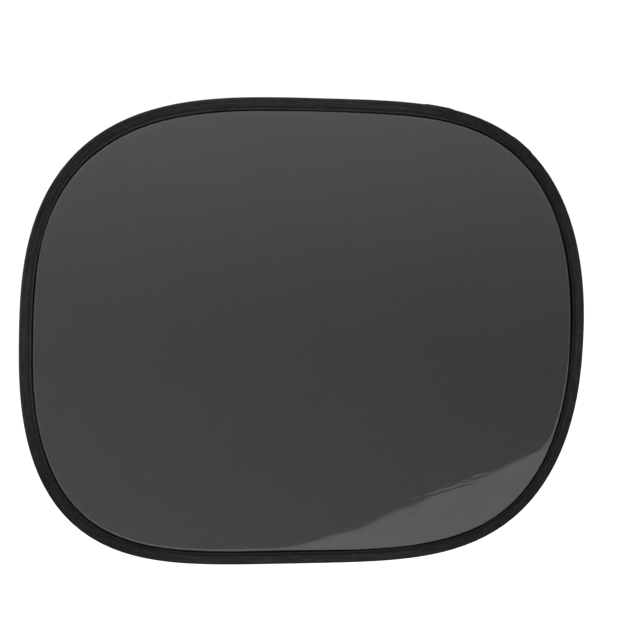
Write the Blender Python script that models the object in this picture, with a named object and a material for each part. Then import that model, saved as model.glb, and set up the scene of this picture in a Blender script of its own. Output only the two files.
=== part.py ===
"""Window cling sunshade: a tinted cling film and a mesh cloth, sewn at their edge into a
folded tape that holds a hoop of spring-steel wire.

Metres, +Z up. The shade stands on edge, as it hangs on a car's side window: X is its width,
Z its height and Y its thickness. The face that clings to the glass looks along -Y, and its
middle is the origin.
"""
import bpy
import bmesh
import math
from mathutils import Vector

MM = 0.001

# ---- outline of the hoop, outside the tape -------------------------------------------------
WIDTH = 440.0 * MM
HEIGHT = 360.0 * MM
TOP_X = 7.0 * MM        # where the top is highest
BOTTOM_X = -5.0 * MM    # where the bottom is lowest
LEFT_Z = -4.0 * MM      # where the left side is furthest out
RIGHT_Z = -6.0 * MM     # where the right side is furthest out
# Each quarter is |x/a|^N + |z/b|^M = 1. A high N makes the long side flat, and M near 2 keeps
# the short side gently bowed.
TOP_RIGHT = (3.50, 2.20)
TOP_LEFT = (3.35, 2.65)
BOTTOM_LEFT = (3.95, 2.50)
BOTTOM_RIGHT = (3.80, 2.25)

STATIONS = 96           # places where the rim's sections stand

# ---- thicknesses ---------------------------------------------------------------------------
GAP = 0.30 * MM         # between pieces that touch on the real thing
FILM_T = 0.18 * MM
FILM_STEP = 0.05 * MM   # the film's sewn margin lies this far behind its free face
MESH_T = 0.30 * MM
TAPE_T = 0.40 * MM

# ---- wire and its sleeve -------------------------------------------------------------------
WIRE_R = 0.75 * MM
WIRE_SIDES = 8
WIRE_END_GAP = 0.60 * MM
SLEEVE_X = 95.0 * MM    # where the ends of the wire meet, right of the middle of the top
SLEEVE_LENGTH = 14.0 * MM
SLEEVE_IN_R = 0.96 * MM
SLEEVE_OUT_R = 1.30 * MM
SLEEVE_SIDES = 12
SLEEVE_CRIMP = 0.05 * MM

# ---- tape ----------------------------------------------------------------------------------
FRONT_LEG = 9.3 * MM    # from the outer edge of the fold to the front leg's hem
BACK_LEG = 10.4 * MM    # the back leg is wider and shows through the film as a dark line
SEAM_IN = 7.3 * MM      # from the outer edge to the seam
SEAM_GROOVE = 0.14 * MM
LAP_LENGTH = 18.0 * MM  # the strip's two ends overlap here, at the top right corner
LAP_T = 0.35 * MM
LAP_ANGLE = 47.0        # direction of the lap from the middle, degrees above +X

THREAD_W = 0.50 * MM
THREAD_T = 0.28 * MM
THREAD_GAP = 0.20 * MM

# ---- levels through the thickness, from the film's free face at y = 0 -----------------------
MESH_Y = FILM_T + GAP                       # front of the mesh
WIRE_Y = (MESH_Y + MESH_T) / 2              # middle of the stack
FRONT_IN = -GAP                             # inner face of the front leg
FRONT_OUT = FRONT_IN - TAPE_T
BACK_IN = MESH_Y + MESH_T + GAP
BACK_OUT = BACK_IN + TAPE_T
FOLD_IN_R = WIRE_R + GAP
FOLD_OUT_R = FOLD_IN_R + TAPE_T
SHEET_EDGE = FOLD_OUT_R + WIRE_R + 1.15 * MM   # the film and mesh end just inside the wire
FILM_FREE = FRONT_LEG + 0.6 * MM               # where the film's free face starts


def outline_point(t):
    """A point of the outer edge, X and Z, for t from 0 to 1 round from +X towards +Z."""
    a = 2 * math.pi * t
    c, s = math.cos(a), math.sin(a)
    if c >= 0 and s >= 0:
        cx, cz, (n, m) = TOP_X, RIGHT_Z, TOP_RIGHT
    elif c < 0 and s >= 0:
        cx, cz, (n, m) = TOP_X, LEFT_Z, TOP_LEFT
    elif c < 0:
        cx, cz, (n, m) = BOTTOM_X, LEFT_Z, BOTTOM_LEFT
    else:
        cx, cz, (n, m) = BOTTOM_X, RIGHT_Z, BOTTOM_RIGHT
    half_x = WIDTH / 2 - cx if c >= 0 else WIDTH / 2 + cx
    half_z = HEIGHT / 2 - cz if s >= 0 else HEIGHT / 2 + cz
    x = cx + math.copysign(half_x * abs(c) ** (2 / n), c)
    z = cz + math.copysign(half_z * abs(s) ** (2 / m), s)
    return Vector((x, z))


class Rim:
    """The outer edge by distance along it, with its inward direction."""

    def __init__(self, fine=7200, even=2400, reach=6):
        raw = [outline_point(i / fine) for i in range(fine)]
        raw.append(raw[0].copy())
        run = [0.0]
        for p, q in zip(raw, raw[1:]):
            run.append(run[-1] + (q - p).length)
        self.length = run[-1]
        self.points, j = [], 0
        for i in range(even):
            s = self.length * i / even
            while run[j + 1] < s:
                j += 1
            f = (s - run[j]) / max(run[j + 1] - run[j], 1e-12)
            self.points.append(raw[j].lerp(raw[j + 1], f))
        self.even = even
        self.inward = []
        for i in range(even):
            d = (self.points[(i + reach) % even] - self.points[i - reach]).normalized()
            self.inward.append(Vector((-d.y, d.x)))
        self.turn = [0.0]
        for i in range(even):
            a, b = self.inward[i], self.inward[(i + 1) % even]
            self.turn.append(self.turn[-1] + abs(math.atan2(a.cross(b), a.dot(b))))

    def at(self, s):
        """The edge point and the inward direction at distance s."""
        f = (s % self.length) / self.length * self.even
        i = int(f) % self.even
        k = (i + 1) % self.even
        f -= int(f)
        return (self.points[i].lerp(self.points[k], f),
                self.inward[i].lerp(self.inward[k], f).normalized())

    def nearest(self, x, z):
        """The distance along the edge of the point nearest to x, z."""
        best = min(range(self.even), key=lambda i: (self.points[i] - Vector((x, z))).length)
        return best / self.even * self.length

    def spread(self, count):
        """Distances along the edge, closer together where it bends more."""
        total = [0.5 * i / self.even + 0.5 * self.turn[i] / self.turn[-1]
                 for i in range(self.even + 1)]
        out, j = [], 0
        for k in range(count):
            want = k / count
            while total[j + 1] < want:
                j += 1
            f = (want - total[j]) / max(total[j + 1] - total[j], 1e-12)
            out.append((j + f) / self.even * self.length)
        return out


rim = Rim()
SLEEVE_S = rim.nearest(SLEEVE_X, HEIGHT / 2)
LAP_S = rim.nearest(WIDTH * math.cos(math.radians(LAP_ANGLE)),
                    WIDTH * math.sin(math.radians(LAP_ANGLE)))


def away(s, centre):
    """Signed distance along the edge from centre to s, the short way round."""
    d = (s - centre) % rim.length
    return d - rim.length if d > rim.length / 2 else d


def smooth(x):
    x = min(max(x, 0.0), 1.0)
    return x * x * (3 - 2 * x)


def sleeve_bulge(s):
    """How much wider the fold is where it goes round the sleeve."""
    room = SLEEVE_OUT_R + GAP - FOLD_IN_R
    return room * smooth((13.0 * MM - abs(away(s, SLEEVE_S))) / (4.0 * MM))


def lap_thickness(s):
    """The second layer of tape: a cut end on one side and a soft ramp on the other."""
    d = away(s, LAP_S)
    if d < -LAP_LENGTH / 2 or d > LAP_LENGTH / 2 + 3.0 * MM:
        return 0.0
    if d > LAP_LENGTH / 2:
        return LAP_T * (1 - smooth((d - LAP_LENGTH / 2) / (3.0 * MM)))
    return LAP_T * min((d + LAP_LENGTH / 2) / (0.2 * MM), 1.0)


def stations():
    """Distances along the edge where sections stand, denser at the sleeve and the lap."""
    own = [SLEEVE_S + d * MM for d in (-13, -11, -9, 0, 9, 11, 13)]
    half = LAP_LENGTH / 2
    own += [LAP_S + d for d in (-half - 0.05 * MM, -half + 0.2 * MM, 0, half,
                                half + 1.5 * MM, half + 3.0 * MM)]
    near = 4.0 * MM
    kept = [s for s in rim.spread(STATIONS) if all(abs(away(s, o)) > near for o in own)]
    return sorted(s % rim.length for s in kept + own)


ALL_STATIONS = stations()


def place(s, inset, y):
    """The 3D point inset from the outer edge at distance s, at level y."""
    p, n = rim.at(s)
    q = p + n * inset
    return (q.x, y, q.y)


def arc(radius, centre_in, centre_y, angles):
    """Points of an arc in a section: 180 degrees is outwards, -90 is the front."""
    return [(centre_in + radius * math.cos(math.radians(a)),
             centre_y + radius * math.sin(math.radians(a))) for a in angles]


def tape_section(s):
    """The folded tape's section at s, as insets from the outer edge and levels: out along the
    front leg, round the wire, in along the back leg, then back along the inside."""
    bulge, lap = sleeve_bulge(s), lap_thickness(s)
    fold_in, fold_out = FOLD_IN_R + bulge, FOLD_OUT_R + bulge + lap
    mid = FOLD_OUT_R
    groove = SEAM_GROOVE
    front = FRONT_OUT - lap
    back = BACK_OUT + lap
    hem = 0.04 * MM
    out = [
        (FRONT_LEG, FRONT_IN - 0.06 * MM),
        (FRONT_LEG, front + 0.08 * MM),
        (FRONT_LEG - 0.22 * MM, front - hem),
        (SEAM_IN + 0.38 * MM, front),
        (SEAM_IN, front + groove),
        (SEAM_IN - 0.38 * MM, front),
        (4.7 * MM, front - 0.03 * MM),
    ]
    out += arc(fold_out, mid, WIRE_Y, (-62, -95, -135, 180, 135, 95, 62))
    out += [
        (4.7 * MM, back + 0.03 * MM),
        (SEAM_IN - 0.38 * MM, back),
        (SEAM_IN, back - groove),
        (SEAM_IN + 0.38 * MM, back),
        (BACK_LEG - 0.15 * MM, back),
        (BACK_LEG, BACK_IN + 0.12 * MM),
        (BACK_LEG - 0.15 * MM, BACK_IN),
        (4.9 * MM, BACK_IN),
    ]
    out += arc(fold_in, mid, WIRE_Y, (56, 118, 180, -118, -56))
    out += [(4.9 * MM, FRONT_IN)]
    return out


def thread_section(s, level, side):
    """A seam thread's section: a flattened run lying over the tape at the seam."""
    lap = lap_thickness(s)
    near = level + side * (lap + THREAD_GAP - SEAM_GROOVE)
    far = near + side * THREAD_T
    mid = near + side * THREAD_T * 0.45
    w = THREAD_W / 2
    return [(SEAM_IN - w, mid), (SEAM_IN, near), (SEAM_IN + w, mid), (SEAM_IN, far)]


# ---- mesh helpers --------------------------------------------------------------------------

def finish(name, bm, colour, roughness, metallic=0.0, alpha=1.0, sharp=35.0):
    """Makes the named object from bm, with its own material."""
    bmesh.ops.recalc_face_normals(bm, faces=bm.faces[:])
    if bm.calc_volume(signed=True) < 0:
        bmesh.ops.reverse_faces(bm, faces=bm.faces[:])
    mesh = bpy.data.meshes.new(name)
    bm.to_mesh(mesh)
    bm.free()
    obj = bpy.data.objects.new(name, mesh)
    bpy.context.scene.collection.objects.link(obj)
    mesh.shade_smooth()
    mesh.set_sharp_from_angle(angle=math.radians(sharp))
    mat = bpy.data.materials.new(name + "_material")
    mat.use_nodes = True
    bsdf = mat.node_tree.nodes["Principled BSDF"]
    bsdf.inputs["Base Color"].default_value = (*colour, 1.0)
    bsdf.inputs["Roughness"].default_value = roughness
    bsdf.inputs["Metallic"].default_value = metallic
    bsdf.inputs["Alpha"].default_value = alpha
    mesh.materials.append(mat)
    return obj


def swept_ring(places, section):
    """A closed ring: the section function's loop at each place, joined to the next."""
    bm = bmesh.new()
    loops = [[bm.verts.new(place(s, inset, y)) for inset, y in section(s)] for s in places]
    for a, b in zip(loops, loops[1:] + loops[:1]):
        n = len(a)
        for i in range(n):
            bm.faces.new((a[i], a[(i + 1) % n], b[(i + 1) % n], b[i]))
    return bm


def sheet(places, inset, front, back, free_inset=None, free_front=None):
    """A thin sheet with the hoop's outline, with its free face a little proud of the margin."""
    bm = bmesh.new()
    front_edge = [bm.verts.new(place(s, inset, front)) for s in places]
    back_edge = [bm.verts.new(place(s, inset, back)) for s in places]
    n = len(places)
    bm.faces.new(back_edge)
    for i in range(n):
        k = (i + 1) % n
        bm.faces.new((front_edge[i], front_edge[k], back_edge[k], back_edge[i]))
    if free_inset is None:
        bm.faces.new(front_edge)
        return bm
    foot = [bm.verts.new(place(s, free_inset - 0.1 * MM, front)) for s in places]
    top = [bm.verts.new(place(s, free_inset, free_front)) for s in places]
    for a, b in ((front_edge, foot), (foot, top)):
        for i in range(n):
            k = (i + 1) % n
            bm.faces.new((a[i], a[k], b[k], b[i]))
    bm.faces.new(top)
    return bm


# ---- the pieces ----------------------------------------------------------------------------

def make_film():
    bm = sheet(ALL_STATIONS, SHEET_EDGE, FILM_STEP, FILM_T, FILM_FREE, 0.0)
    return finish("cling_film", bm, (0.02, 0.02, 0.021), 0.08, alpha=0.85)


def make_mesh_panel():
    bm = sheet(ALL_STATIONS, SHEET_EDGE, MESH_Y, MESH_Y + MESH_T)
    return finish("mesh_panel", bm, (0.012, 0.012, 0.013), 0.75, alpha=0.6)


def make_wire():
    """The spring wire: one length bent round, its ends meeting in the sleeve."""
    near = 2.0 * MM
    start, end = SLEEVE_S + WIRE_END_GAP / 2, SLEEVE_S - WIRE_END_GAP / 2
    middle = sorted((away(s, SLEEVE_S) % rim.length, s) for s in ALL_STATIONS
                    if abs(away(s, SLEEVE_S)) > near)
    places = [start] + [s for _, s in middle] + [end]
    bm = bmesh.new()
    loops = []
    for s in places:
        loops.append([
            bm.verts.new(place(s, FOLD_OUT_R + WIRE_R * math.cos(a),
                               WIRE_Y + WIRE_R * math.sin(a)))
            for a in (2 * math.pi * (i + 0.5) / WIRE_SIDES for i in range(WIRE_SIDES))])
    for a, b in zip(loops, loops[1:]):
        for i in range(WIRE_SIDES):
            k = (i + 1) % WIRE_SIDES
            bm.faces.new((a[i], a[k], b[k], b[i]))
    bm.faces.new(loops[0])
    bm.faces.new(loops[-1])
    return finish("wire_hoop", bm, (0.42, 0.42, 0.43), 0.32, metallic=1.0, sharp=60.0)


def make_sleeve():
    """The crimped sleeve: a short straight tube, pinched a little at its two crimps."""
    bm = bmesh.new()
    profile = [(-0.5, 0.0), (-0.36, 0.0), (-0.25, 1.0), (-0.14, 0.0),
               (0.14, 0.0), (0.25, 1.0), (0.36, 0.0), (0.5, 0.0)]
    outer, inner = [], []
    for f, crimp in profile:
        s = SLEEVE_S + f * SLEEVE_LENGTH
        for loops, radius in ((outer, SLEEVE_OUT_R - SLEEVE_CRIMP * crimp),
                              (inner, SLEEVE_IN_R)):
            loops.append([
                bm.verts.new(place(s, FOLD_OUT_R + radius * math.cos(a),
                                   WIRE_Y + radius * math.sin(a)))
                for a in (2 * math.pi * i / SLEEVE_SIDES for i in range(SLEEVE_SIDES))])
    for loops in (outer, inner):
        for a, b in zip(loops, loops[1:]):
            for i in range(SLEEVE_SIDES):
                k = (i + 1) % SLEEVE_SIDES
                bm.faces.new((a[i], a[k], b[k], b[i]))
    for a, b in ((outer[0], inner[0]), (outer[-1], inner[-1])):
        for i in range(SLEEVE_SIDES):
            k = (i + 1) % SLEEVE_SIDES
            bm.faces.new((a[i], a[k], b[k], b[i]))
    return finish("wire_ferrule", bm, (0.5, 0.5, 0.51), 0.4, metallic=1.0)


def make_binding():
    bm = swept_ring(ALL_STATIONS, tape_section)
    return finish("edge_binding", bm, (0.022, 0.022, 0.023), 0.7, sharp=50.0)


def make_needle_thread():
    bm = swept_ring(ALL_STATIONS, lambda s: thread_section(s, FRONT_OUT, -1))
    return finish("needle_thread", bm, (0.015, 0.015, 0.016), 0.55, sharp=80.0)


def make_bobbin_thread():
    bm = swept_ring(ALL_STATIONS, lambda s: thread_section(s, BACK_OUT, 1))
    return finish("bobbin_thread", bm, (0.015, 0.015, 0.016), 0.55, sharp=80.0)


for old in list(bpy.data.objects):
    bpy.data.objects.remove(old, do_unlink=True)

make_film()
make_mesh_panel()
make_wire()
make_sleeve()
make_binding()
make_needle_thread()
make_bobbin_thread()
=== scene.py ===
"""The looks of the window cling sunshade: glossy tinted film over fine mesh cloth, a folded
woven tape round the edge with its stitched seam, and the spring wire inside it.

Metres, in the same frame as the solids: X is the width, Z the height, and the face that clings
to the glass looks along -Y.
"""
import math

import bpy
import numpy as np
from mathutils import Matrix, Vector

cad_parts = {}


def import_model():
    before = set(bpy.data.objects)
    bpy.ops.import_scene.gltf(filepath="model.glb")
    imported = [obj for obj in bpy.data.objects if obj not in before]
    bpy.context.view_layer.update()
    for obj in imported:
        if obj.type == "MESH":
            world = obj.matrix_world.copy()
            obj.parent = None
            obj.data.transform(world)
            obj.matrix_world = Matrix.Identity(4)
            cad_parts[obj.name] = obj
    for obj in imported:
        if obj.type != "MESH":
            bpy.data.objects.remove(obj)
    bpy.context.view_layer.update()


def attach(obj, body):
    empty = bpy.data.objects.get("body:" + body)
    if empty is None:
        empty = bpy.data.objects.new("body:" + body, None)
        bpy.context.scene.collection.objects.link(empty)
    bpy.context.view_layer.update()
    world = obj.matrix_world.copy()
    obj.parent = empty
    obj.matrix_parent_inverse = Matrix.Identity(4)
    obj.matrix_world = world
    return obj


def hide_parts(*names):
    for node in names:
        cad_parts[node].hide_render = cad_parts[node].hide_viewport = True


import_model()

MM = 0.001

# ---- the hoop's outline and thicknesses, as in the solids ----------------------------------
WIDTH, HEIGHT = 440.0 * MM, 360.0 * MM
TOP_X, BOTTOM_X = 7.0 * MM, -5.0 * MM
LEFT_Z, RIGHT_Z = -4.0 * MM, -6.0 * MM
QUARTERS = ((3.50, 2.20), (3.35, 2.65), (3.95, 2.50), (3.80, 2.25))

FILM_T = 0.18 * MM
MESH_Y, MESH_T = 0.48 * MM, 0.30 * MM
WIRE_R, WIRE_Y = 0.75 * MM, 0.39 * MM
FOLD_IN_R, FOLD_OUT_R = 1.05 * MM, 1.45 * MM
FRONT_IN, FRONT_OUT = -0.30 * MM, -0.70 * MM
BACK_IN, BACK_OUT = 1.08 * MM, 1.48 * MM
SEAM_IN = 7.3 * MM
HEM_FRONT, HEM_BACK, HEM_TUCK = 9.3 * MM, 10.4 * MM, 0.75 * MM
SHEET_EDGE = 3.35 * MM
SLEEVE_X, SLEEVE_LENGTH, SLEEVE_OUT_R = 95.0 * MM, 14.0 * MM, 1.30 * MM
SLEEVE_IN_R = 0.96 * MM
LAP_ANGLE, LAP_LENGTH, LAP_T = 47.0, 18.0 * MM, 0.35 * MM

STITCH = 2.8 * MM
THREAD_R = 0.20 * MM
SEAM_DISH = 0.27 * MM


class Rim:
    """The hoop's outer edge by distance along it, with its inward direction and its bend."""

    def __init__(self, fine=14400, even=6000, reach=15):
        a = 2 * np.pi * np.arange(fine + 1) / fine
        c, s = np.cos(a), np.sin(a)
        cx = np.where(s >= 0, TOP_X, BOTTOM_X)
        cz = np.where(c >= 0, RIGHT_Z, LEFT_Z)
        quarter = np.where(s >= 0, np.where(c >= 0, 0, 1), np.where(c < 0, 2, 3))
        n, m = np.array(QUARTERS)[quarter].T
        x = cx + (WIDTH / 2 - np.sign(c) * cx) * np.sign(c) * np.abs(c) ** (2 / n)
        z = cz + (HEIGHT / 2 - np.sign(s) * cz) * np.sign(s) * np.abs(s) ** (2 / m)
        run = np.r_[0.0, np.cumsum(np.hypot(np.diff(x), np.diff(z)))]
        self.length = float(run[-1])
        self.even = even
        self.s = self.length * np.arange(even) / even
        self.p = np.stack([np.interp(self.s, run, x), np.interp(self.s, run, z)], 1)
        d = np.roll(self.p, -reach, 0) - np.roll(self.p, reach, 0)
        d /= np.linalg.norm(d, axis=1)[:, None]
        self.n = np.stack([-d[:, 1], d[:, 0]], 1)
        e = np.roll(self.n, -40, 0) - np.roll(self.n, 40, 0)
        self.bend = np.linalg.norm(e, axis=1) / (80 * self.length / even)

    def _read(self, table, s):
        f = np.mod(s, self.length) / self.length * self.even
        i = np.floor(f).astype(int) % self.even
        w = f - np.floor(f)
        k = (i + 1) % self.even
        if table.ndim == 2:
            w = w[..., None]
        return table[i] * (1 - w) + table[k] * w

    def at(self, s, inset, y):
        """Points inset from the edge at distances s, at levels y. Arrays of one shape."""
        s, inset, y = np.broadcast_arrays(np.asarray(s, float), inset, y)
        p, n = self._read(self.p, s), self._read(self.n, s)
        n = n / np.linalg.norm(n, axis=-1, keepdims=True)
        q = p + n * inset[..., None]
        return np.stack([q[..., 0], y, q[..., 1]], -1)

    def bends(self, s):
        return self._read(self.bend, np.asarray(s, float))

    def nearest(self, x, z):
        return float(self.s[np.argmin(np.hypot(self.p[:, 0] - x, self.p[:, 1] - z))])

    def away(self, s, centre):
        d = np.mod(np.asarray(s, float) - centre, self.length)
        return np.where(d > self.length / 2, d - self.length, d)


rim = Rim()
SLEEVE_S = rim.nearest(SLEEVE_X, HEIGHT / 2)
LAP_S = rim.nearest(WIDTH * math.cos(math.radians(LAP_ANGLE)),
                    WIDTH * math.sin(math.radians(LAP_ANGLE)))
TUCK_S = rim.nearest(-0.93 * WIDTH / 2, 0.55 * HEIGHT / 2)     # the rim is narrowest here
STITCHES = int(round((rim.length - 2 * math.pi * SEAM_IN) / STITCH))


def smooth(x):
    x = np.clip(x, 0.0, 1.0)
    return x * x * (3 - 2 * x)


def sleeve_bulge(s):
    room = SLEEVE_OUT_R + 0.22 * MM - FOLD_IN_R
    return room * smooth((13.0 * MM - np.abs(rim.away(s, SLEEVE_S))) / (4.0 * MM))


def lap_thickness(s):
    d = rim.away(s, LAP_S)
    rise = np.clip((d + LAP_LENGTH / 2) / (0.25 * MM), 0, 1)
    fall = 1 - smooth((d - LAP_LENGTH / 2) / (3.0 * MM))
    return LAP_T * rise * fall


def tuck(s):
    """At the upper left more of the tape went round the wire, so both its hems are nearer."""
    return HEM_TUCK * np.exp(-(rim.away(s, TUCK_S) / (62 * MM)) ** 2)


# Where the back leg lies further in or out than elsewhere: the place as shares of half the
# width and height, and how far, in mm.
HEM_DRIFTS = ((-1.0, 0.0, 0.50), (1.0, 0.22, 0.45), (0.22, -1.0, -0.40))
HEM_DRIFT_REACH = 46 * MM


def back_hem(s):
    """Inset of the back leg's hem, which wanders a little, as a folded tape's does."""
    t = 2 * math.pi * np.asarray(s, float) / rim.length
    wander = (0.16 * np.sin(3 * t + 0.6) + 0.12 * np.sin(5 * t + 2.0) + 0.08 * np.sin(11 * t)
              + 0.06 * np.sin(19 * t + 1.0))
    drift = 0.0
    for u, v, far in HEM_DRIFTS:
        off = rim.away(s, rim.nearest(u * WIDTH / 2, v * HEIGHT / 2))
        drift = drift + far * np.exp(-(off / HEM_DRIFT_REACH) ** 2)
    return HEM_BACK - tuck(s) + MM * (wander + drift)


# ---- materials -----------------------------------------------------------------------------

# Each sheet is a closed solid, so a ray meets two faces of it: the film lets 14% of the light
# through and the mesh 24%, which is the square of what each face lets through.
FILM_ALPHA = 0.62
MESH_ALPHA = 0.507
MESH_PITCH = 0.85                                    # from one wale to the next, in mm


class Nodes:
    """A small helper that builds one material's nodes."""

    def __init__(self, name):
        self.mat = bpy.data.materials.new(name)
        self.mat.use_nodes = True
        self.tree = self.mat.node_tree
        self.shader = self.tree.nodes["Principled BSDF"]

    def attribute(self, name):
        node = self.tree.nodes.new("ShaderNodeAttribute")
        node.attribute_name = name
        return node.outputs["Fac"]

    def join(self, x, y):
        node = self.tree.nodes.new("ShaderNodeCombineXYZ")
        self.tree.links.new(x, node.inputs[0])
        self.tree.links.new(y, node.inputs[1])
        return node.outputs[0]

    def math(self, op, a, b=None, c=None, clamp=False):
        node = self.tree.nodes.new("ShaderNodeMath")
        node.operation, node.use_clamp = op, clamp
        for i, v in enumerate((a, b, c)):
            if v is None:
                continue
            if isinstance(v, bpy.types.NodeSocket):
                self.tree.links.new(v, node.inputs[i])
            else:
                node.inputs[i].default_value = v
        return node.outputs[0]

    def noise(self, vector, scale, detail=2.0, rough=0.5):
        node = self.tree.nodes.new("ShaderNodeTexNoise")
        self.tree.links.new(vector, node.inputs["Vector"])
        node.inputs["Scale"].default_value = scale
        node.inputs["Detail"].default_value = detail
        node.inputs["Roughness"].default_value = rough
        return node.outputs["Fac"]

    def mix(self, fac, a, b):
        node = self.tree.nodes.new("ShaderNodeMix")
        node.data_type = "RGBA"
        self.tree.links.new(fac, node.inputs["Factor"])
        for socket, value in ((node.inputs[6], a), (node.inputs[7], b)):
            if isinstance(value, bpy.types.NodeSocket):
                self.tree.links.new(value, socket)
            else:
                socket.default_value = (*value, 1.0)
        return node.outputs[2]

    def ramp(self, fac, low, high, to_low=0.0, to_high=1.0):
        node = self.tree.nodes.new("ShaderNodeMapRange")
        self.tree.links.new(fac, node.inputs["Value"])
        for key, value in (("From Min", low), ("From Max", high),
                           ("To Min", to_low), ("To Max", to_high)):
            node.inputs[key].default_value = value
        return node.outputs["Result"]

    def bump(self, height, strength, distance, normal=None):
        node = self.tree.nodes.new("ShaderNodeBump")
        self.tree.links.new(height, node.inputs["Height"])
        node.inputs["Strength"].default_value = strength
        node.inputs["Distance"].default_value = distance
        if normal is not None:
            self.tree.links.new(normal, node.inputs["Normal"])
        return node.outputs["Normal"]

    def uv(self, name="cloth"):
        node = self.tree.nodes.new("ShaderNodeUVMap")
        node.uv_map = name
        split = self.tree.nodes.new("ShaderNodeSeparateXYZ")
        self.tree.links.new(node.outputs["UV"], split.inputs[0])
        return split.outputs[0], split.outputs[1]

    def place(self):
        return self.tree.nodes.new("ShaderNodeTexCoord").outputs["Object"]

    def put(self, name, value):
        socket = self.shader.inputs[name]
        if isinstance(value, bpy.types.NodeSocket):
            self.tree.links.new(value, socket)
        else:
            socket.default_value = value


def film_material():
    """Dark tinted static-cling film: see-through, with a clean gloss that is a little uneven."""
    n = Nodes("tinted_cling_film")
    here = n.place()
    haze = n.noise(here, 9.0, 3.0, 0.55)
    tint = n.mix(haze, (0.0020, 0.0018, 0.0062), (0.0030, 0.0027, 0.0078))
    n.put("Roughness", n.ramp(n.noise(here, 26.0, 2.0), 0.3, 0.7, 0.010, 0.020))
    # painted shade: in a band beside the hem the film's gloss is taken away and its tint turned
    # grey, so the band reads dark like the shade there
    hem_shade_band = n.attribute("hem_shade_band")
    n.put("Base Color", n.mix(hem_shade_band, tint, (0.0034, 0.0034, 0.0036)))
    n.put("Specular IOR Level", n.ramp(hem_shade_band, 0.0, 1.0, 0.5, 0.07))
    n.put("Alpha", FILM_ALPHA)
    n.put("IOR", 1.62)
    ripple = n.noise(here, 48.0, 1.0, 0.4)
    n.put("Normal", n.bump(ripple, 0.02, 0.0004))
    n.mat.surface_render_method = "BLENDED"
    return n.mat


def mesh_material():
    """Fine black knitted mesh, half open: a net of threads round small three-sided and
    six-sided holes, with slacker and tighter courses."""
    n = Nodes("black_mesh_cloth")
    along, across = n.uv()
    pitch = 2 * math.pi / MESH_PITCH
    rows = n.math("COSINE", n.math("MULTIPLY", along, pitch))
    slant_a = n.math("ADD", n.math("MULTIPLY", along, pitch / 2),
                     n.math("MULTIPLY", across, pitch * 0.866))
    slant_b = n.math("SUBTRACT", n.math("MULTIPLY", along, pitch / 2),
                     n.math("MULTIPLY", across, pitch * 0.866))
    knit = n.math("ADD", n.math("ADD", rows, n.math("COSINE", slant_a)),
                  n.math("COSINE", slant_b))
    thread = n.ramp(knit, 0.9, -0.7)                 # the holes are where all three agree
    here = n.place()
    course = n.noise(n.join(n.math("MULTIPLY", along, 0.35),
                            n.math("MULTIPLY", across, 0.012)), 1.0, 2.0, 0.6)
    cloud = n.noise(here, 14.0, 3.0, 0.6)
    tone = n.math("MULTIPLY", thread, n.math("ADD", n.ramp(course, 0.3, 0.7, 0.45, 0.80),
                                             n.ramp(cloud, 0.3, 0.7, -0.10, 0.20)), clamp=True)
    n.put("Base Color", n.mix(tone, (0.0015, 0.0015, 0.0018), (0.0700, 0.0700, 0.0730)))
    n.put("Roughness", n.ramp(thread, 0.0, 1.0, 0.88, 0.58))
    n.put("Alpha", MESH_ALPHA)
    n.put("Specular IOR Level", 0.12)
    n.put("Normal", n.bump(thread, 0.8, 0.00025))
    n.mat.surface_render_method = "BLENDED"
    return n.mat


def tape_material():
    """Black woven polyester tape: crosswise ribs between fine lengthwise threads, matte, with
    a trace of sheen and lint."""
    n = Nodes("woven_black_tape")
    along, across = n.uv()
    rib = n.math("SINE", n.math("MULTIPLY", along, 2 * math.pi / 0.62))
    warp = n.math("SINE", n.math("MULTIPLY", across, 2 * math.pi / 0.44))
    over = n.math("MULTIPLY", rib, warp)
    ribs = n.ramp(n.math("ADD", n.math("MULTIPLY", over, 0.7), n.math("MULTIPLY", rib, 0.3)),
                  -1.0, 1.0)
    ridge = n.ramp(n.math("SINE", n.math("MULTIPLY", across, 2 * math.pi / 2.2)), -1.0, 1.0)
    here = n.place()
    wear = n.noise(here, 60.0, 4.0, 0.6)
    lint = n.ramp(n.noise(here, 900.0, 2.0), 0.66, 0.80)
    # threads that are drawn a little tighter or slacker show as long faint streaks, over a
    # slight grain
    streak = n.noise(n.join(n.math("MULTIPLY", along, 0.055), across), 0.95, 2.0, 0.6)
    grain = n.ramp(n.noise(here, 420.0, 3.0, 0.65), 0.34, 0.66, -0.22, 0.24)
    tone = n.math("ADD", n.math("MULTIPLY", ribs, 0.5), n.math("MULTIPLY", wear, 0.3))
    tone = n.math("ADD", tone, grain)
    tone = n.math("ADD", tone, n.ramp(streak, 0.30, 0.70, -0.36, 0.56), clamp=True)
    base = n.mix(tone, (0.0041, 0.0041, 0.0046), (0.0172, 0.0172, 0.0182))
    # painted shade along the seam's groove, and a darker tone round the corners
    corner_tone_seam_shade = n.attribute("corner_tone_seam_shade")
    corner_seam_dark_tone = n.mix(tone, (0.0010, 0.0010, 0.0012), (0.0088, 0.0088, 0.0095))
    base = n.mix(n.math("MULTIPLY", corner_tone_seam_shade, 0.85), base, corner_seam_dark_tone)
    n.put("Base Color", n.mix(n.math("MULTIPLY", lint, 0.22), base, (0.035, 0.035, 0.039)))
    n.put("Roughness", n.ramp(ribs, 0.0, 1.0, 0.86, 0.66))
    n.put("Specular IOR Level", 0.115)
    n.put("Sheen Weight", 0.0085)
    n.put("Sheen Roughness", 0.5)
    deep = n.bump(ridge, 0.25, 0.0002)
    n.put("Normal", n.bump(ribs, 0.6, 0.00016, deep))
    return n.mat


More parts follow.
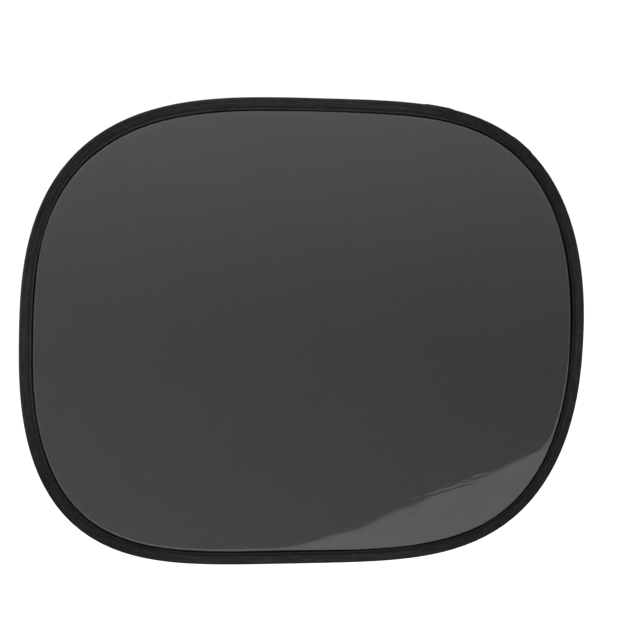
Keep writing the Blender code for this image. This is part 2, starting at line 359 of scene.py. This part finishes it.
def thread_material():
    """Black sewing thread, two plies twisted together."""
    n = Nodes("black_sewing_thread")
    along, across = n.uv()
    turn = n.math("ADD", n.math("MULTIPLY", along, 2 * math.pi / 0.75),
                  n.math("MULTIPLY", across, 2 * math.pi * 2))
    ply = n.ramp(n.math("SINE", turn), -1.0, 1.0)
    n.put("Base Color", n.mix(ply, (0.0018, 0.0018, 0.0020), (0.0078, 0.0078, 0.0085)))
    n.put("Specular IOR Level", 0.10)
    n.put("Roughness", n.ramp(ply, 0.0, 1.0, 0.70, 0.42))
    n.put("Normal", n.bump(ply, 0.7, 0.0001))
    return n.mat


def wire_material():
    """Drawn spring steel with fine lengthwise drawing marks and a straw-grey oxide."""
    n = Nodes("drawn_spring_wire")
    along, across = n.uv()
    marks = n.noise(n.join(n.math("MULTIPLY", along, 0.02), n.math("MULTIPLY", across, 24.0)),
                    3.0, 4.0, 0.6)
    blotch = n.noise(n.place(), 45.0, 3.0)
    n.put("Base Color", n.mix(blotch, (0.34, 0.34, 0.35), (0.48, 0.46, 0.43)))
    n.put("Metallic", 1.0)
    n.put("Roughness", n.ramp(marks, 0.3, 0.7, 0.24, 0.42))
    n.put("Normal", n.bump(marks, 0.25, 0.00005))
    return n.mat


def sleeve_material():
    """Zinc-plated steel sleeve with a mottled, slightly cloudy plating."""
    n = Nodes("zinc_plated_sleeve")
    here = n.place()
    cloud = n.noise(here, 700.0, 3.0, 0.6)
    n.put("Base Color", n.mix(cloud, (0.44, 0.45, 0.47), (0.62, 0.62, 0.63)))
    n.put("Metallic", 1.0)
    n.put("Roughness", n.ramp(cloud, 0.3, 0.7, 0.30, 0.48))
    n.put("Normal", n.bump(n.noise(here, 1500.0, 2.0), 0.2, 0.00004))
    return n.mat


# ---- meshes --------------------------------------------------------------------------------

def make_piece(name, points, faces, material, uvs=None, sharp=None):
    """An object from arrays: points, faces of four corners (or lists), and per-corner UVs."""
    mesh = bpy.data.meshes.new(name)
    mesh.from_pydata([tuple(p) for p in points], [], faces)
    mesh.validate()
    if uvs is not None:
        layer = mesh.uv_layers.new(name="cloth")
        layer.data.foreach_set("uv", np.asarray(uvs, np.float32).ravel())
    mesh.shade_smooth()
    if sharp is not None:
        mesh.set_sharp_from_angle(angle=math.radians(sharp))
    mesh.materials.append(material)
    obj = bpy.data.objects.new(name, mesh)
    bpy.context.scene.collection.objects.link(obj)
    return obj


def ring_faces(rows, cols, close_rows=True):
    """Quads of a grid of points whose columns close on themselves, and its rows if asked."""
    r = np.arange(rows if close_rows else rows - 1)
    c = np.arange(cols)
    i, j = np.meshgrid(r, c, indexing="ij")
    k, m = (i + 1) % rows, (j + 1) % cols
    return np.stack([i * cols + j, i * cols + m, k * cols + m, k * cols + j], -1).reshape(-1, 4)


def ring_uvs(rows, cols, u, v, u_end, v_end):
    """Per-corner UVs for ring_faces: u by row and v by column, without a jump where they wrap."""
    i, j = np.meshgrid(np.arange(rows), np.arange(cols), indexing="ij")
    u2, v2 = np.r_[u, u_end], np.r_[v, v_end]
    corners = [(u2[i], v2[j]), (u2[i], v2[j + 1]), (u2[i + 1], v2[j + 1]), (u2[i + 1], v2[j])]
    return np.stack([np.stack(c, -1) for c in corners], 2).reshape(-1, 2)


def facing_out(points, faces):
    """The faces, turned over if the closed mesh they make is inside out."""
    p = points[faces]
    v = 0.0
    for a, b, c in ((0, 1, 2), (0, 2, 3)):
        v += np.einsum("ij,ij->i", p[:, a], np.cross(p[:, b], p[:, c])).sum()
    return v > 0


def closed_ring(name, points, material, u, v, u_end, v_end, sharp=None):
    """A ring from points[row, column, xyz], closed both ways, facing out."""
    rows, cols = points.shape[:2]
    flat = points.reshape(-1, 3)
    faces = ring_faces(rows, cols)
    uvs = ring_uvs(rows, cols, u, v, u_end, v_end).reshape(-1, 4, 2)
    if not facing_out(flat, faces):
        faces, uvs = faces[:, ::-1], uvs[:, ::-1]
    return make_piece(name, flat, faces.tolist(), material, uvs.reshape(-1, 2), sharp)


# ---- tape ----------------------------------------------------------------------------------

def tape_points(s):
    """The tape's section at each distance in s: points[station, place in section, xyz].

    It runs from the front hem out along the front leg, round the wire, in along the back leg
    to its hem, and back along the inside."""
    s = s[:, None]
    bulge, lap = sleeve_bulge(s), lap_thickness(s)
    turn = 2 * math.pi * s / (rim.length / STITCHES)
    hole = np.maximum(np.cos(turn), 0.0) ** 2
    corner = smooth((rim.bends(s) - 2.0) / 5.0)      # 1 where the edge turns sharply

    def pucker(w, side):
        """Small slanted gathers, strongest in the corners and towards the hem."""
        t = 2 * math.pi * s
        wave = (np.sin(t / (7.3 * MM) + 260 * w * side) + 0.6 * np.sin(t / (4.4 * MM) - 180 * w)
                + 0.5 * np.sin(t / (17.0 * MM) + side))
        return (0.018 + 0.055 * corner) * MM * wave * smooth(w / (5 * MM))

    def wander(scale):
        t = 2 * math.pi * s
        return scale * (np.sin(t / (31 * MM)) * 0.5 + np.sin(t / (74 * MM) + 1.3) * 0.8
                        + np.sin(t / (12.5 * MM) + 0.4) * 0.25)

    cols, across = [], []

    def add(inset, y, v):
        cols.append(np.stack(np.broadcast_arrays(inset + 0 * s, y + 0 * s), -1)[:, 0])
        across.append(v)

    front = FRONT_OUT - lap
    back = BACK_OUT + lap
    hem_f = HEM_FRONT - 0.85 * tuck(s) + wander(0.07 * MM)
    hem_b = back_hem(s)

    def leg(w, face, side, hem):
        """Depth of a leg's outer face at inset w: soft, drawn down along the seam and again at
        each stitch hole, with the hem standing up a little beyond it."""
        x = w - SEAM_IN
        dish = SEAM_DISH * (np.exp(-(x / (0.66 * MM)) ** 2)
                            + 0.30 * np.exp(-(x / (1.7 * MM)) ** 2))
        dimple = 0.10 * MM * hole * np.exp(-(x / (0.34 * MM)) ** 2)
        edge = 0.58 * MM * smooth((x - 0.2 * MM) / (hem - SEAM_IN)) * (w > SEAM_IN)
        crown = 0.07 * MM * np.exp(-((w - 4.3 * MM) / (1.6 * MM)) ** 2)
        return face + side * (pucker(w, side) - dish - dimple + edge + crown)

    # the front hem is the tape's woven edge, so it is rounded and a little thinner
    tip_y = leg(hem_f - 0.1 * MM, front, -1, hem_f)
    add(hem_f - 0.10 * MM, FRONT_IN, 0.0)
    add(hem_f + 0.03 * MM, FRONT_IN + 0.30 * (tip_y - FRONT_IN), 0.16)
    add(hem_f + 0.03 * MM, FRONT_IN + 0.70 * (tip_y - FRONT_IN), 0.3)
    add(hem_f - 0.08 * MM, tip_y + 0.03 * MM, 0.45)
    for share in (0.80, 0.58, 0.38, 0.22, 0.10):
        w = SEAM_IN + 0.05 * MM + share * (hem_f - SEAM_IN - 0.05 * MM)
        add(w, leg(w, front, -1, hem_f), 2.55 - 1.95 * share)
    for w in (7.3, 7.05, 6.75, 6.4, 5.7, 4.8, 4.0, 3.2):
        add(w * MM, leg(w * MM, front, -1, hem_f), 9.9 - w)
    fold = FOLD_OUT_R + bulge + lap
    centre = FOLD_OUT_R
    rough = 1 + 0.010 * np.sin(2 * math.pi * s / (9.1 * MM)) * (0.4 + corner)
    angles = (-62, -86, -112, -140, 180, 140, 112, 86, 62)
    for k, a in enumerate(angles):
        r = fold * rough
        add(centre + r * math.cos(math.radians(a)), WIRE_Y + r * math.sin(math.radians(a)),
            7.4 + 0.62 * k)
    for w in (3.2, 4.2, 5.2, 6.3, 6.95, 7.18, 7.42, 7.65):
        add(w * MM, leg(w * MM, back, 1, hem_b), 13.1 + (w - 3.2))
    for share in (0.3, 0.6, 0.85):
        w = 7.65 * MM + share * (hem_b - 7.65 * MM)
        add(w, leg(w, back, 1, hem_b), 17.55 + 2.75 * share)
    tip_b = leg(hem_b - 0.1 * MM, back, 1, hem_b)
    add(hem_b - 0.08 * MM, tip_b - 0.03 * MM, 20.6)
    add(hem_b + 0.04 * MM, (tip_b + BACK_IN) / 2, 20.8)
    add(hem_b - 0.08 * MM, BACK_IN, 21.0)
    add(4.4 * MM, BACK_IN, 26.0)
    inner = FOLD_IN_R + bulge
    for k, a in enumerate((62, 120, 180, -120, -62)):
        add(centre + inner * math.cos(math.radians(a)),
            WIRE_Y + inner * math.sin(math.radians(a)), 29.0 + 0.8 * k)
    add(4.4 * MM, FRONT_IN + 0 * s, 35.0)
    section = np.stack(cols, 1)
    points = rim.at(np.broadcast_to(s, section.shape[:2]), section[..., 0], section[..., 1])
    return points, np.array(across)


def make_tape(material):
    per = 4                                           # stations to a stitch
    s = rim.length * np.arange(STITCHES * per) / (STITCHES * per)
    points, across = tape_points(s)
    tape = closed_ring("rim_tape", points, material, s / MM, across,
                       rim.length / MM, across[-1] + 4.0)
    # darker round the corners, and painted shade along the seam's groove
    corner = smooth((rim.bends(s) - 1.5) / 6.0)[:, None]
    seam = np.where(across < 6.5, np.exp(-((across - 9.9 + SEAM_IN / MM) / 0.9) ** 2),
                    np.exp(-((across - 9.9 - SEAM_IN / MM) / 0.9) ** 2))
    corner_tone_seam_shade = tape.data.attributes.new("corner_tone_seam_shade", "FLOAT", "POINT")
    corner_tone_seam_shade.data.foreach_set("value", np.maximum(corner, seam).ravel().astype(np.float32))
    return tape


# ---- seam ----------------------------------------------------------------------------------

def make_stitches(name, side, material):
    """One continuous thread: each stitch lies over the tape between two holes, and goes down
    steeply into them."""
    per, sides = 10, 8
    rows = STITCHES * per
    s = rim.length * np.arange(rows) / rows
    f = np.mod(np.arange(rows) / per, 1.0)            # 0 in the hole, 0.5 in mid-stitch
    rise = np.sin(math.pi * f) ** 0.55
    lap = lap_thickness(s)
    surface = (-FRONT_OUT if side < 0 else BACK_OUT) + lap - 1.30 * SEAM_DISH
    height = side * (surface - 0.30 * MM + 0.46 * MM * rise)
    lean = 0.16 * MM * (f - 0.5) * side * (f > 0)     # each stitch lies slightly askew
    thick = THREAD_R * (0.70 + 0.30 * rise)
    a = 2 * math.pi * np.arange(sides) / sides
    inset = SEAM_IN + lean[:, None] + thick[:, None] * 1.15 * np.cos(a)
    y = height[:, None] + thick[:, None] * 0.85 * np.sin(a)
    points = rim.at(s[:, None], inset, y)
    return closed_ring(name, points, material, s / MM, np.arange(sides) / sides,
                       rim.length / MM, 1.0)


# ---- film and mesh -------------------------------------------------------------------------

# Long, very shallow waves that the film keeps from being folded: (length in mm, direction in
# degrees, phase, depth in mm).
FILM_WAVES = ((128.0, 24.0, 0.4, 0.0080), (71.0, 112.0, 2.1, 0.0016), (43.0, 63.0, 4.0, 0.0007),
              (27.0, 152.0, 0.9, 0.0005))

# Small creases in the film, as shallow grooves: ends x, z and x, z, width and depth, in mm.
CREASES = ((82.0, -131.6, 97.0, -127.6, 0.60, 0.0044), (95.0, -128.2, 108.0, -124.4, 0.60, 0.0050),
           (96.0, -125.6, 106.0, -122.0, 0.50, 0.0030),
           (104.0, -125.4, 121.0, -120.6, 0.62, 0.0062),
           (118.0, -121.6, 138.0, -115.9, 0.60, 0.0058),
           (107.0, -120.8, 119.0, -117.6, 0.50, 0.0040),
           (126.0, -117.0, 132.0, -115.2, 0.60, 0.0042),
           (134.0, -114.6, 140.0, -111.4, 0.85, 0.0078),
           (138.0, -113.2, 149.0, -109.6, 0.70, 0.0046),
           (82.5, -143.2, 91.0, -145.4, 0.70, 0.0080), (84.0, -139.8, 90.5, -140.8, 0.60, 0.0060),
           (-148.0, 96.0, -131.0, 109.0, 1.6, 0.0030), (60.0, 128.0, 84.0, 134.0, 1.6, 0.0030))
CREASE_S = rim.nearest(0.66 * WIDTH / 2, -0.86 * HEIGHT / 2)   # where the finer grid is

# Along the back leg's hem the film has a shallow valley, where it goes in under the tape.
VALLEY_DEPTH, VALLEY_WIDTH, VALLEY_IN = 0.070 * MM, 0.75 * MM, 0.22 * MM
# the film's band of painted shade fades out from here, as inset beyond the back leg's hem
HEM_SHADE_IN = -0.10 * MM


def film_relief(x, z):
    """How far the film's face stands back from flat, in metres, at x, z."""
    d = np.zeros_like(x)
    for length, degrees, phase, depth in FILM_WAVES:
        a = math.radians(degrees)
        d += depth * MM * np.sin(2 * math.pi * (x * math.cos(a) + z * math.sin(a))
                                 / (length * MM) + phase)
    for x0, z0, x1, z1, width, depth in CREASES:
        run = math.hypot(x1 - x0, z1 - z0) * MM
        ux, uz = (x1 - x0) * MM / run, (z1 - z0) * MM / run
        along = (x - x0 * MM) * ux + (z - z0 * MM) * uz
        side = (z - z0 * MM) * ux - (x - x0 * MM) * uz
        side = side - 0.35 * MM * np.sin(math.pi * along / run * 1.7)
        ends = smooth(along / (0.3 * run)) * smooth((run - along) / (0.3 * run))
        d += depth * MM * ends * np.exp(-(side / (width * MM)) ** 2)
    return d


def film_gathers(s, inset):
    """Fine ripples of the film beside the hem, strongest at the corners."""
    corner = smooth((rim.bends(s) - 1.5) / 5.0)
    t = 2 * math.pi * s
    wave = (np.sin(t / (11.3 * MM)) + 0.6 * np.sin(t / (6.7 * MM) + 1.1)
            + 0.8 * np.sin(t / (23.0 * MM) + 2.0))
    clear = (inset - back_hem(s)) / (3.6 * MM)
    ripple = (0.0012 + 0.0040 * corner) * MM * wave * smooth(clear * 2)
    return ripple * np.exp(-clear ** 2) + 0.013 * MM * np.exp(-(clear * 0.75) ** 2)


def mesh_relief(x, z):
    """The mesh follows the film's longest waves at half their depth, with its own slack."""
    d = np.zeros_like(x)
    for length, degrees, phase, depth in ((96.0, 31.0, 1.1, 0.030), (57.0, 118.0, 0.2, 0.014)):
        a = math.radians(degrees)
        d += depth * MM * np.sin(2 * math.pi * (x * math.cos(a) + z * math.sin(a))
                                 / (length * MM) + phase)
    return d


def spaced(count, density, fine=4000):
    """count places from 0 to 1 whose spacing follows 1 / density(place)."""
    t = np.linspace(0, 1, fine)
    run = np.r_[0.0, np.cumsum(0.5 * (density(t[1:]) + density(t[:-1])))]
    return np.interp(np.arange(count) / count, run / run[-1], t)


def disc(name, front, back, relief, material, columns, edge_loops, rings, film=False):
    """A thin closed sheet with the hoop's outline. columns are distances along the rim,
    edge_loops the insets of its outermost loops, each a number or one for each column, and
    rings the shares of the way from the innermost of those to the middle."""
    around = len(columns)
    insets = [w + 0 * columns for w in edge_loops]
    loops = [rim.at(columns, w, 0.0)[:, [0, 2]] for w in insets]
    inner, k = loops[-1], len(loops)
    loops = np.stack(loops + [inner * (1 - r) for r in rings])
    inset = np.stack(insets + [insets[-1] + 0.175 * r for r in rings])
    free = smooth((inset - 13.0 * MM) / (14 * MM))
    shape = relief(loops[..., 0], loops[..., 1]) * free
    if film:
        into = (inset - back_hem(columns) - VALLEY_IN) / VALLEY_WIDTH
        shape = shape + VALLEY_DEPTH * np.exp(-into ** 2) + film_gathers(columns, inset)
    y_front = front + shape
    n_loops = len(loops)
    # the back has the same loops at the edge and few across the middle
    keep = list(range(k)) + list(range(k + 3, n_loops, max(1, (n_loops - k) // 12)))
    y_back = back + shape[keep]
    pts_f = np.stack([loops[..., 0], y_front, loops[..., 1]], -1).reshape(-1, 3)
    pts_b = np.stack([loops[keep][..., 0], y_back, loops[keep][..., 1]], -1).reshape(-1, 3)
    top = float(relief(np.zeros(1), np.zeros(1))[0])
    points = np.vstack([pts_f, [[0.0, front + top, 0.0]], pts_b, [[0.0, back + top, 0.0]]])
    nf = len(pts_f) + 1
    j = np.arange(around)
    m = (j + 1) % around

    def grid(n, first):
        i = np.arange(n - 1)[:, None]
        return (np.stack([i * around + j, i * around + m, (i + 1) * around + m,
                          (i + 1) * around + j], -1).reshape(-1, 4) + first)

    quads = np.vstack([grid(n_loops, 0), grid(len(keep), nf)[:, ::-1],
                       np.stack([j, j + nf, m + nf, m], -1)])
    last_f, last_b = (n_loops - 1) * around, nf + (len(keep) - 1) * around
    tris = np.vstack([np.stack([last_f + j, last_f + m, 0 * j + nf - 1], -1),
                      np.stack([last_b + m, last_b + j, 0 * j + len(points) - 1], -1)])
    p = points[quads[0]]
    if np.cross(p[1] - p[0], p[2] - p[0])[1] > 0:     # the front must look along -Y
        quads, tris = quads[:, ::-1], tris[:, ::-1]
    uvs = np.vstack([points[quads.ravel()][:, [0, 2]], points[tris.ravel()][:, [0, 2]]]) / MM
    sheet = make_piece(name, points, quads.tolist() + tris.tolist(), material, uvs, sharp=20.0)
    if film:
        # the film's band of painted shade beside the hem, where its gloss is taken away
        hem_shade_band = 1 - smooth((inset - back_hem(columns) - HEM_SHADE_IN) / (0.30 * MM))
        mark = sheet.data.attributes.new("hem_shade_band", "FLOAT", "POINT")
        mark.data.foreach_set("value", np.r_[hem_shade_band.ravel(), 0.0, hem_shade_band[keep].ravel(),
                                             0.0].astype(np.float32))
    return sheet


def make_film(material):
    near = CREASE_S / rim.length

    def density(t):
        return 1 + 7.0 * np.exp(-((t - near) * rim.length / (68 * MM)) ** 4)

    columns = rim.length * spaced(520, density)
    rings = spaced(120, lambda t: 1 + 8.0 * np.exp(-((t - 0.115) / 0.080) ** 2))[1:]
    edge = [SHEET_EDGE, 8.3 * MM] + [back_hem(columns) + w * MM for w in (
        -1.5, -1.1, -0.8, -0.5, -0.25, 0.0, 0.22, 0.45, 0.7, 0.95, 1.25, 1.6, 2.1, 2.9)]
    return disc("film_sheet", 0.0, FILM_T, film_relief, material, columns, edge, rings, True)


def make_cloth(material):
    columns = rim.length * np.arange(360) / 360
    rings = np.arange(1, 24) / 24
    return disc("mesh_cloth", MESH_Y, MESH_Y + MESH_T, mesh_relief, material, columns,
                [SHEET_EDGE, 9.4 * MM, 12.8 * MM], rings)


# ---- wire and sleeve -----------------------------------------------------------------------

def make_wire(material):
    sides, rows = 14, 620
    gap = 0.3 * MM
    s = SLEEVE_S + gap + (rim.length - 2 * gap) * np.arange(rows) / (rows - 1)
    a = 2 * math.pi * np.arange(sides) / sides
    radius = np.full(rows, WIRE_R)
    radius[[0, -1]] -= 0.06 * MM                      # the cut ends are slightly broken
    points = rim.at(s[:, None], FOLD_OUT_R + radius[:, None] * np.cos(a),
                    WIRE_Y + radius[:, None] * np.sin(a))
    flat = points.reshape(-1, 3)
    faces = ring_faces(rows, sides, close_rows=False)
    i, j = np.meshgrid(np.arange(rows - 1), np.arange(sides), indexing="ij")
    u = (s - s[0]) / MM
    v = np.r_[np.arange(sides) / sides, 1.0]
    uvs = np.stack([np.stack(c, -1) for c in (
        (u[i], v[j]), (u[i], v[j + 1]), (u[i + 1], v[j + 1]), (u[i + 1], v[j]))], 2)
    uvs = uvs.reshape(-1, 4, 2)
    out = facing_out(flat, faces)
    if not out:
        faces, uvs = faces[:, ::-1], uvs[:, ::-1]
    ends = [list(range(sides)), list(range((rows - 1) * sides, rows * sides))]
    ends = [ends[0][::-1], ends[1]] if out else [ends[0], ends[1][::-1]]
    cap = [(0.0, float(k) / sides) for k in range(sides)]
    return make_piece("hoop_wire", flat, faces.tolist() + ends, material,
                      np.vstack([uvs.reshape(-1, 2), cap, cap]), sharp=50.0)


def make_sleeve(material):
    """A crimped tube: two pinched bands, rounded mouths and an open bore."""
    sides, steps = 32, 57
    f = np.linspace(-0.5, 0.5, steps)
    crimp = (np.exp(-((f - 0.25) / 0.055) ** 2) + np.exp(-((f + 0.25) / 0.055) ** 2))
    mouth = 0.12 * MM * smooth((np.abs(f) - 0.47) / 0.03)
    a = 2 * math.pi * np.arange(sides) / sides
    pinch = 0.5 + 0.5 * np.cos(2 * a)                 # pressed from front and back
    s = SLEEVE_S + f * SLEEVE_LENGTH
    outer = SLEEVE_OUT_R - mouth[:, None] - 0.14 * MM * crimp[:, None] * (1 - pinch)
    inner = (SLEEVE_IN_R - 0.10 * MM * crimp[:, None] * (1 - pinch)) * np.ones(sides)
    loops = []
    for radius in (outer, inner[::-1]):
        where = s if radius is outer else s[::-1]
        loops.append(rim.at(where[:, None], FOLD_OUT_R + radius * np.cos(a),
                            WIRE_Y + radius * np.sin(a)))
    points = np.concatenate(loops)                    # out along the outside, back inside
    rows = len(points)
    return closed_ring("crimped_sleeve", points, material, np.arange(rows) * 0.25,
                       np.arange(sides) / sides, rows * 0.25, 1.0, sharp=45.0)


# ---- camera --------------------------------------------------------------------------------

# The photo's view: the shade is turned about its own axes, then moved in front of the camera.
TILT_X, TILT_Y, TILT_Z = math.radians(-8.64), math.radians(-11.86), math.radians(-0.31)
SHIFT_X, SHIFT_UP, DISTANCE = -7.91 * MM, -11.36 * MM, 1527.5 * MM
LENS = 112.5


def make_camera():
    """x right, y up and z away from the camera, then into the row's X, Z and Y."""
    cx, sx = math.cos(TILT_X), math.sin(TILT_X)
    cy, sy = math.cos(TILT_Y), math.sin(TILT_Y)
    cz, sz = math.cos(TILT_Z), math.sin(TILT_Z)
    turn = (Matrix(((cz, -sz, 0), (sz, cz, 0), (0, 0, 1)))
            @ Matrix(((cy, 0, sy), (0, 1, 0), (-sy, 0, cy)))
            @ Matrix(((1, 0, 0), (0, cx, -sx), (0, sx, cx))))
    back = turn.transposed()

    def world(v):
        w = back @ Vector(v)
        return Vector((w.x, w.z, w.y))

    where = world((-SHIFT_X, -SHIFT_UP, -DISTANCE))
    right, up, ahead = world((1, 0, 0)), world((0, 1, 0)), world((0, 0, 1))
    data = bpy.data.cameras.new("camera")
    data.sensor_width, data.lens = 36.0, LENS
    data.clip_start, data.clip_end = 0.05, 200.0
    cam = bpy.data.objects.new("camera", data)
    cam.matrix_world = Matrix(((right.x, up.x, -ahead.x, where.x),
                               (right.y, up.y, -ahead.y, where.y),
                               (right.z, up.z, -ahead.z, where.z),
                               (0, 0, 0, 1)))
    bpy.context.scene.collection.objects.link(cam)
    bpy.context.scene.camera = cam
    return cam


# ---- light and stage -----------------------------------------------------------------------

def make_world():
    """White all round to the eye. Reflections see a dim room over a white table top, whose
    edge crosses the lower right of the film's mirror view."""
    world = bpy.data.worlds.new("studio")
    world.use_nodes = True
    bpy.context.scene.world = world
    tree = world.node_tree
    tree.nodes.clear()
    out = tree.nodes.new("ShaderNodeOutputWorld")

    def node(kind, **settings):
        made = tree.nodes.new(kind)
        for key, value in settings.items():
            setattr(made, key, value)
        return made

    def put(socket, value):
        if isinstance(value, bpy.types.NodeSocket):
            tree.links.new(value, socket)
        else:
            socket.default_value = value

    def math_node(op, a, b=None, clamp=False):
        made = node("ShaderNodeMath", operation=op, use_clamp=clamp)
        put(made.inputs[0], a)
        if b is not None:
            put(made.inputs[1], b)
        return made.outputs[0]

    ray = node("ShaderNodeTexCoord").outputs["Generated"]

    def dot(direction):
        made = node("ShaderNodeVectorMath", operation="DOT_PRODUCT")
        put(made.inputs[0], ray)
        made.inputs[1].default_value = direction
        return made.outputs["Value"]

    def ramp(value, low, high, to_low, to_high, smooth_step=True):
        made = node("ShaderNodeMapRange",
                    interpolation_type="SMOOTHSTEP" if smooth_step else "LINEAR")
        put(made.inputs["Value"], value)
        for key, v in (("From Min", low), ("From Max", high),
                       ("To Min", to_low), ("To Max", to_high)):
            made.inputs[key].default_value = v
        return made.outputs["Result"]

    bright = ramp(dot((1.0, 0.0, 0.0)), *TABLE_GLOW, TABLE_NEAR, TABLE_FAR, False)
    table = ramp(dot(TABLE_SIDE), *TABLE_EDGE, 0.0, 1.0)
    table = math_node("MULTIPLY", table, bright)
    high = ramp(dot((0.0, 0.0, 1.0)), *HIGH_GLOW, 0.0, HIGH_GLOSS)
    side = ramp(dot((1.0, 0.0, 0.0)), *SIDE_GLOW, SIDE_GLOSS, 0.0, False)
    tent = ramp(dot(OPENING), math.cos(OPENING_TO), math.cos(OPENING_FROM), TENT_GLOSS, 0.0)
    room = math_node("ADD", math_node("ADD", high, side), ROOM_GLOSS)
    gloss = math_node("MAXIMUM", math_node("MAXIMUM", room, table), tent)
    light = ramp(dot(LIGHT_SIDE), -1.0, 1.0, LIGHT_LOW, LIGHT_HIGH, False)

    path = node("ShaderNodeLightPath")

    def mixed(fac, a, b):
        made = node("ShaderNodeMix", data_type="FLOAT")
        put(made.inputs[0], fac)
        put(made.inputs[2], a)
        put(made.inputs[3], b)
        return made.outputs[0]

    strength = mixed(path.outputs["Is Glossy Ray"], light, gloss)
    strength = mixed(path.outputs["Is Camera Ray"], strength, SKY)
    back = node("ShaderNodeBackground")
    back.inputs["Color"].default_value = (1.0, 1.0, 1.0, 1.0)
    put(back.inputs["Strength"], strength)
    tree.links.new(back.outputs[0], out.inputs["Surface"])


# What the film mirrors: the dark opening that the camera looks through, in a white tent,
# brighter towards the top and the left, and the edge of the white table top low on the right.
TABLE_SIDE = (0.3626, 0.3148, -0.8772)   # normal of the plane through the table's edge
TABLE_EDGE = (0.0002, 0.0024)
TABLE_GLOW, TABLE_NEAR, TABLE_FAR = (0.20, 0.30), 1.53, 1.34   # brighter towards the left
HIGH_GLOW, HIGH_GLOSS = (-0.17, 0.01), 0.97
SIDE_GLOW, SIDE_GLOSS = (0.07, 0.32), 0.33
OPENING = (0.2000, -0.9667, -0.1600)
OPENING_FROM, OPENING_TO, TENT_GLOSS = 0.180, 0.270, 0.85
ROOM_GLOSS = 0.03
LIGHT_SIDE = (-0.500, -0.350, 0.792)     # the room's light comes mostly from up on the left
LIGHT_LOW, LIGHT_HIGH = 0.15, 1.55
SKY = 1.05
FLOOR_Z = -0.42


def make_floor():
    """A plain pale floor, well below the shade, which hangs as on a window."""
    n = Nodes("pale_floor")
    here = n.place()
    n.put("Base Color", n.mix(n.noise(here, 2.0, 2.0), (0.86, 0.86, 0.86), (0.90, 0.90, 0.90)))
    n.put("Roughness", 0.9)
    n.put("Specular IOR Level", 0.0)
    size = 60.0
    mesh = bpy.data.meshes.new("floor")
    mesh.from_pydata([(-size, -size, FLOOR_Z), (size, -size, FLOOR_Z),
                      (size, size, FLOOR_Z), (-size, size, FLOOR_Z)], [], [(0, 1, 2, 3)])
    mesh.materials.append(n.mat)
    obj = bpy.data.objects.new("floor", mesh)
    bpy.context.scene.collection.objects.link(obj)
    obj.visible_glossy = False
    obj.visible_diffuse = False


def area_light(name, where, target, size, power, spread=180.0):
    data = bpy.data.lights.new(name, "AREA")
    data.shape = "DISK"
    data.size, data.energy, data.spread = size, power, math.radians(spread)
    obj = bpy.data.objects.new(name, data)
    obj.location = where
    aim = (Vector(target) - Vector(where)).normalized()
    obj.rotation_mode = "QUATERNION"
    obj.rotation_quaternion = aim.to_track_quat("-Z", "Y")
    bpy.context.scene.collection.objects.link(obj)
    return obj


def main():
    scene = bpy.context.scene
    scene.view_settings.view_transform = "Standard"
    scene.view_settings.look = "None"
    scene.view_settings.exposure = 0.0
    scene.view_settings.gamma = 1.0
    make_camera()
    make_world()
    make_floor()
    area_light("key", (-0.95, -0.50, 0.85), (-0.05, 0, 0.02), 0.45, 22.0)

    film = make_film(film_material())
    cloth = make_cloth(mesh_material())
    tape = make_tape(tape_material())
    thread = thread_material()
    front = make_stitches("front_stitches", -1, thread)
    back = make_stitches("back_stitches", 1, thread)
    wire = make_wire(wire_material())
    sleeve = make_sleeve(sleeve_material())

    for piece, node, name in (
            (film, "cling_film", "film"), (cloth, "mesh_panel", "mesh_cloth"),
            (tape, "edge_binding", "binding_tape"), (front, "needle_thread", "seam_thread"),
            (back, "bobbin_thread", "seam_thread"), (wire, "wire_hoop", "spring_wire"),
            (sleeve, "wire_ferrule", "sleeve_steel")):
        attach(piece, "root")
        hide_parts(node)


main()
